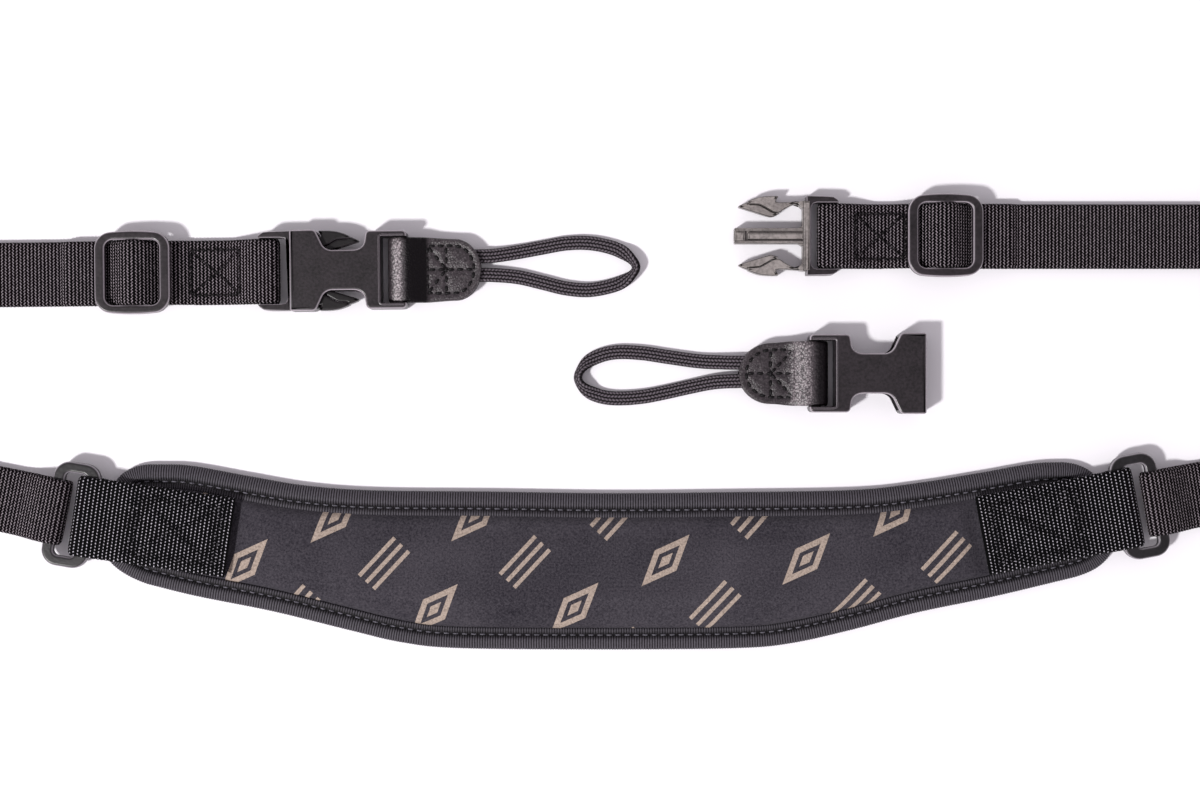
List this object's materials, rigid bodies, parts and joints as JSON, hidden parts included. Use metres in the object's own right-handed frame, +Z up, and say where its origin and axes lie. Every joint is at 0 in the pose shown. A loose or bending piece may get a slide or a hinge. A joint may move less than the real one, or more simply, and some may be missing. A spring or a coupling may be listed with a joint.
{
  "type": "binocular neck strap",
  "caption": "Padded binocular neck strap laid on a table: curved bound collar, adjustable webbing ends, side-release buckles and flat cord loops on leather tabs.",
  "frame": {"origin": "middle of the neck pad's underside, on the table", "axes": "+X along the pad, +Y in the table's plane from the pad to the buckles, +Z up from the table"},
  "size_m": [0.553, 0.1415, 0.0202],
  "materials": {
    "foam_pad": "charcoal knitted jersey over foam, tan print",
    "binding_tape": "ribbed stretch tape",
    "coarse_webbing": "coarse ribbed nylon webbing",
    "webbing": "ribbed nylon webbing",
    "moulded_plastic": "finely textured black acetal",
    "leather": "grained black leather",
    "braided_cord": "flat braided cord"
  },
  "bodies": {
    "root": {"neck_pad": "foam_pad", "edge_binding": "binding_tape", "tab_left": "coarse_webbing", "tab_right": "coarse_webbing", "webbing_left": "webbing", "webbing_right": "webbing", "leather_tab_left": "leather", "leather_tab_right": "leather", "cord_loop_left": "braided_cord", "cord_loop_right": "braided_cord", "ring_left": "moulded_plastic", "ring_right": "moulded_plastic", "slider_left": "moulded_plastic", "slider_right": "moulded_plastic", "buckle_male_left": "moulded_plastic", "buckle_male_right": "moulded_plastic", "buckle_female_left": "moulded_plastic", "buckle_female_right": "moulded_plastic"}
  },
  "joints": []
}
